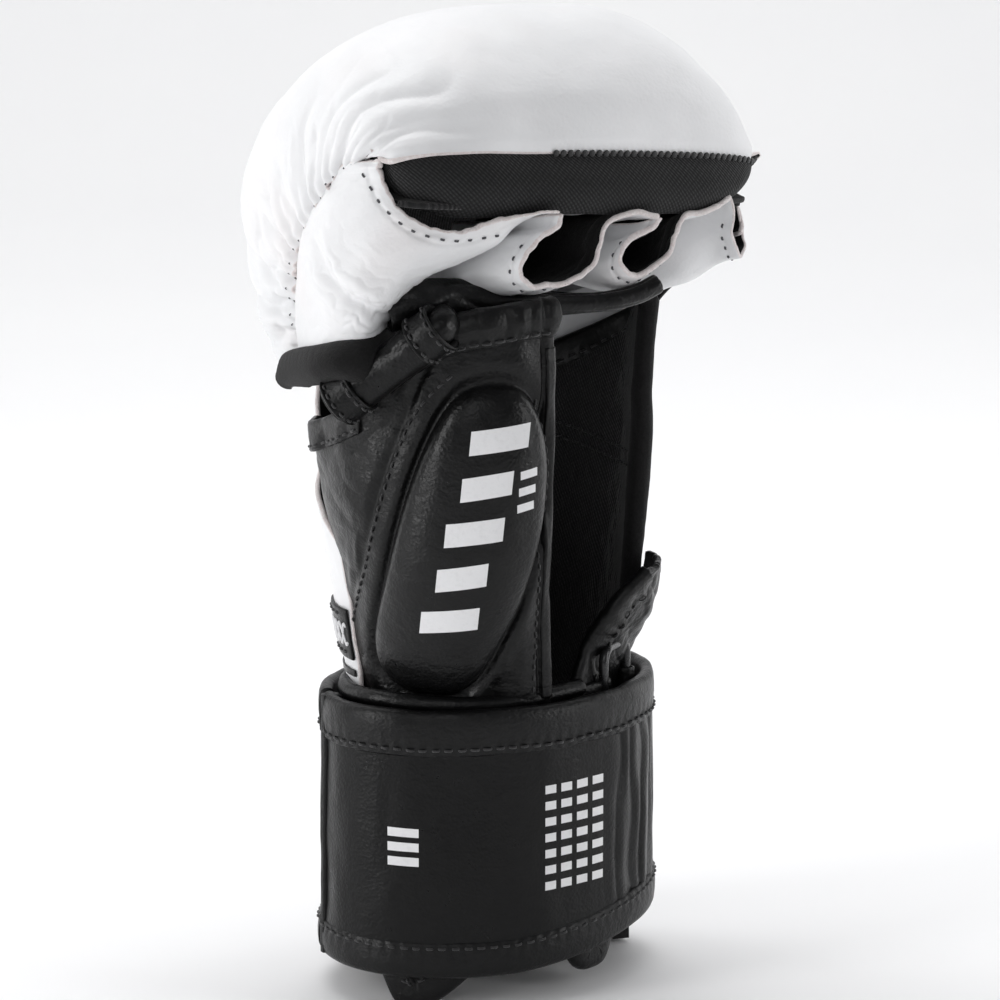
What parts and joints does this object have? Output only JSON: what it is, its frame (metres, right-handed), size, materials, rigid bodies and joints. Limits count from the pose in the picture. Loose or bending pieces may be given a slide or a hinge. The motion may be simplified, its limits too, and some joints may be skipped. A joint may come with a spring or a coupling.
{
  "type": "mma sparring glove",
  "caption": "Open-palm fighting glove with a curled knuckle pad, four open finger loops, a padded thumb panel and a wide wrap-over wrist strap.",
  "frame": {"origin": "centre of the wrist opening, in the plane of the cuff's lower edge", "axes": "+Z from the wrist to the fingers, palm towards -Y, back of the hand towards +Y, thumb on the -X side"},
  "size_m": [0.1327, 0.104, 0.2731],
  "materials": {
    "white_leather": "smooth matte white, lightly creased",
    "black_leather": "fine-grained satin black",
    "black_binding": "folded leather edge, satin",
    "neoprene": "black knit-faced neoprene",
    "foam": "closed-cell padding foam",
    "webbing": "woven elastic",
    "hook_loop": "hook-and-loop tape",
    "ring_metal": "black-painted wire"
  },
  "bodies": {
    "hand": {"back_hand_liner": "neoprene", "back_hand_foam": "foam", "back_hand_leather": "white_leather", "back_band": "black_leather", "cuff_lining": "neoprene", "cuff_leather": "black_leather", "cuff_top_binding": "black_binding", "cuff_bottom_binding": "black_binding", "back_bottom_binding": "black_binding", "loop_patch": "hook_loop", "inner_strap": "webbing", "wing_panel": "black_leather", "wing_binding": "black_binding", "strap_back": "black_leather", "strap_back_top_binding": "black_binding", "strap_back_bottom_binding": "black_binding", "ring_tab": "black_leather"},
    "strap_flap": {"strap_flap": "black_leather", "strap_flap_top_binding": "black_binding", "strap_flap_bottom_binding": "black_binding", "strap_flap_end_binding": "black_binding", "hook_patch": "hook_loop"},
    "ring": {"strap_ring": "ring_metal"},
    "thumb": {"thumb_panel": "black_leather", "thumb_lining": "neoprene", "thumb_pad_foam": "foam", "thumb_pad_cover": "black_leather", "thumb_top_binding": "black_binding", "thumb_edge_binding": "black_binding", "thumb_roll": "black_leather", "roll_keeper_lower": "black_leather", "roll_keeper_upper": "black_leather"},
    "knuckle": {"knuckle_shell": "white_leather", "knuckle_foam": "foam", "knuckle_lining": "neoprene", "lip_band": "neoprene", "index_loop": "white_leather", "middle_loop": "white_leather", "ring_loop": "white_leather", "pinky_loop": "white_leather", "side_panel_index": "white_leather", "side_panel_pinky": "white_leather", "side_binding_index": "black_binding", "side_binding_pinky": "black_binding", "palm_bar": "black_leather", "palm_bar_core": "foam", "inner_facing": "white_leather", "pad_rear_binding": "black_binding"}
  },
  "joints": [
    {"name": "knuckle_flex", "type": "hinge", "parent": "hand", "child": "knuckle", "pos_m": [0, 0.02, 0.165], "axis": [1, 0, 0], "range_deg": [-12, 0], "stiffness_Nm_per_rad": 3},
    {"name": "thumb_spread", "type": "hinge", "parent": "hand", "child": "thumb", "pos_m": [-0.0218, -0.0311, 0.086], "axis": [0.8192, -0.5736, 0], "range_deg": [0, 12], "stiffness_Nm_per_rad": 1},
    {"name": "strap_peel", "type": "hinge", "parent": "hand", "child": "strap_flap", "pos_m": [0.0516, 0, 0.0465], "axis": [0, 0, 1], "range_deg": [0, 100]},
    {"name": "ring_swing", "type": "hinge", "parent": "hand", "child": "ring", "pos_m": [0.03377, -0.01964, 0.078], "axis": [0, 0, 1], "range_deg": [0, 4]}
  ]
}
